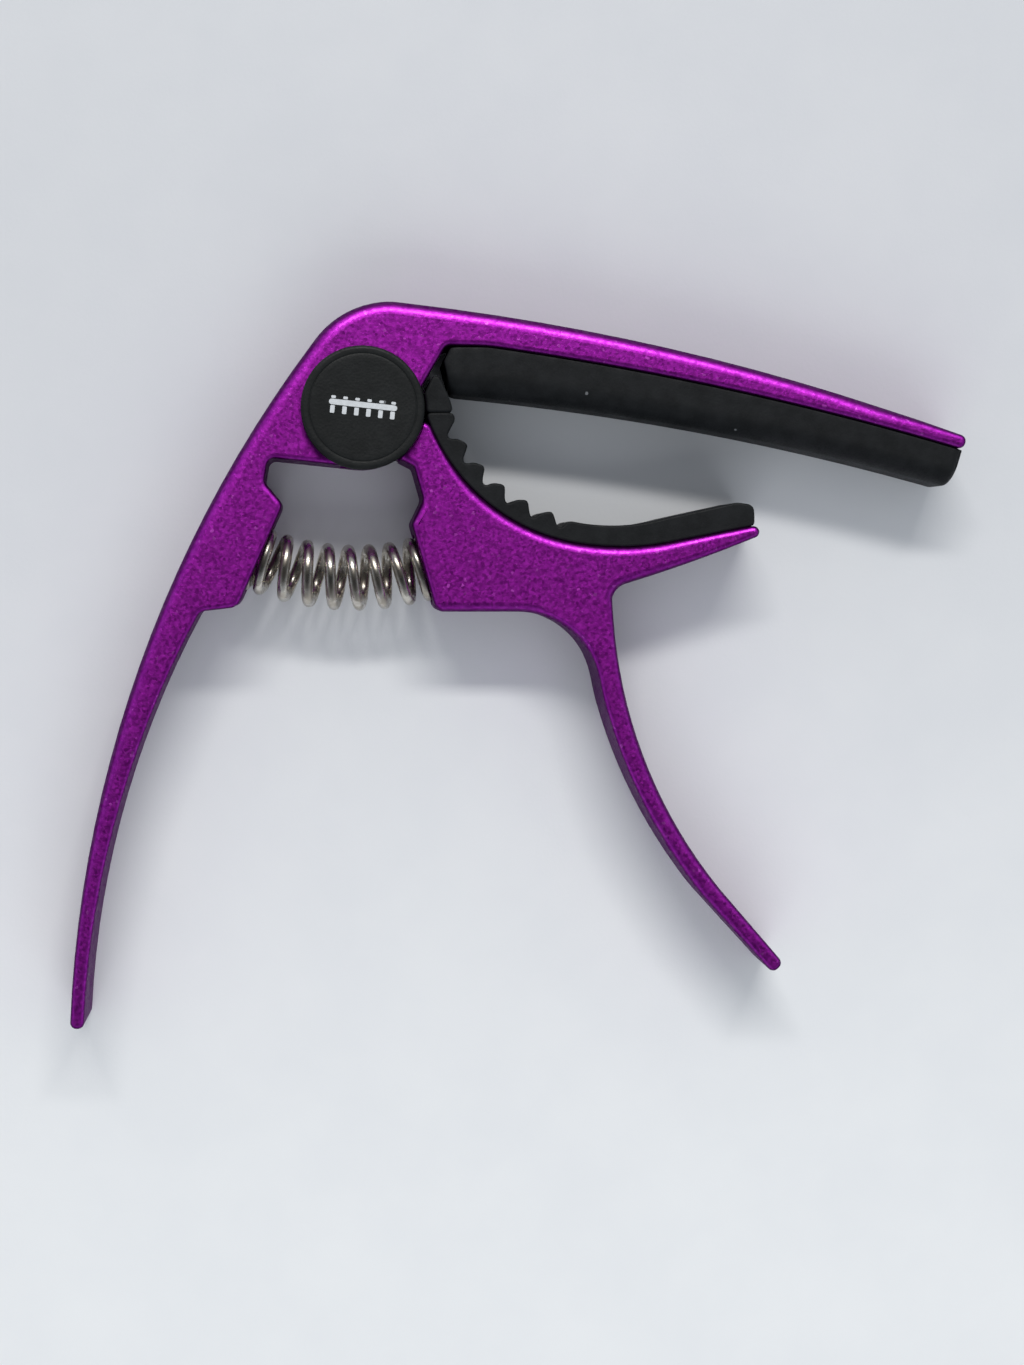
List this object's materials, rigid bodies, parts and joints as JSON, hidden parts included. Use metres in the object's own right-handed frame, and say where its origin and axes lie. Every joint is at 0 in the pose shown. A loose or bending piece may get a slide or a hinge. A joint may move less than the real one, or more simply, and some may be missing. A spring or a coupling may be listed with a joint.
{
  "type": "guitar capo",
  "caption": "Trigger capo for a guitar neck: a long padded arm and a hooked, toothed jaw on one sprung pivot, opened by squeezing the two handles together.",
  "frame": {"origin": "middle of the footprint on the flat back face, where the capo lies on a table", "axes": "+X along the padded arm from the pivot to its tip, +Y away from the handle ends, +Z along the pivot axis out of the capped front face"},
  "size_m": [0.1018, 0.0818, 0.0111],
  "materials": {
    "purple_paint": "satin",
    "black_plastic": "satin",
    "black_rubber": "matte",
    "spring_steel": "satin",
    "plated_steel": "satin",
    "bronze": "satin",
    "white_nylon": "matte"
  },
  "bodies": {
    "frame": {"frame_casting": "purple_paint", "pivot_barrel": "plated_steel", "pivot_screw": "plated_steel", "lock_washer": "spring_steel", "rear_thrust_washer": "white_nylon", "front_thrust_washer": "white_nylon", "front_cap": "black_plastic", "upper_pad": "black_rubber", "compression_spring": "spring_steel"},
    "lever": {"trigger_lever": "purple_paint", "lever_bush": "bronze", "lower_pad": "black_rubber", "heel_bumper": "black_rubber"}
  },
  "joints": [
    {"name": "lever_pivot", "type": "hinge", "parent": "frame", "child": "lever", "pos_m": [-0.01815, 0.02888, 0.005], "axis": [0, 0, -1], "range_deg": [0, 24], "stiffness_Nm_per_rad": 0.8, "springref_deg": -25.78, "deforming": ["compression_spring"]}
  ]
}
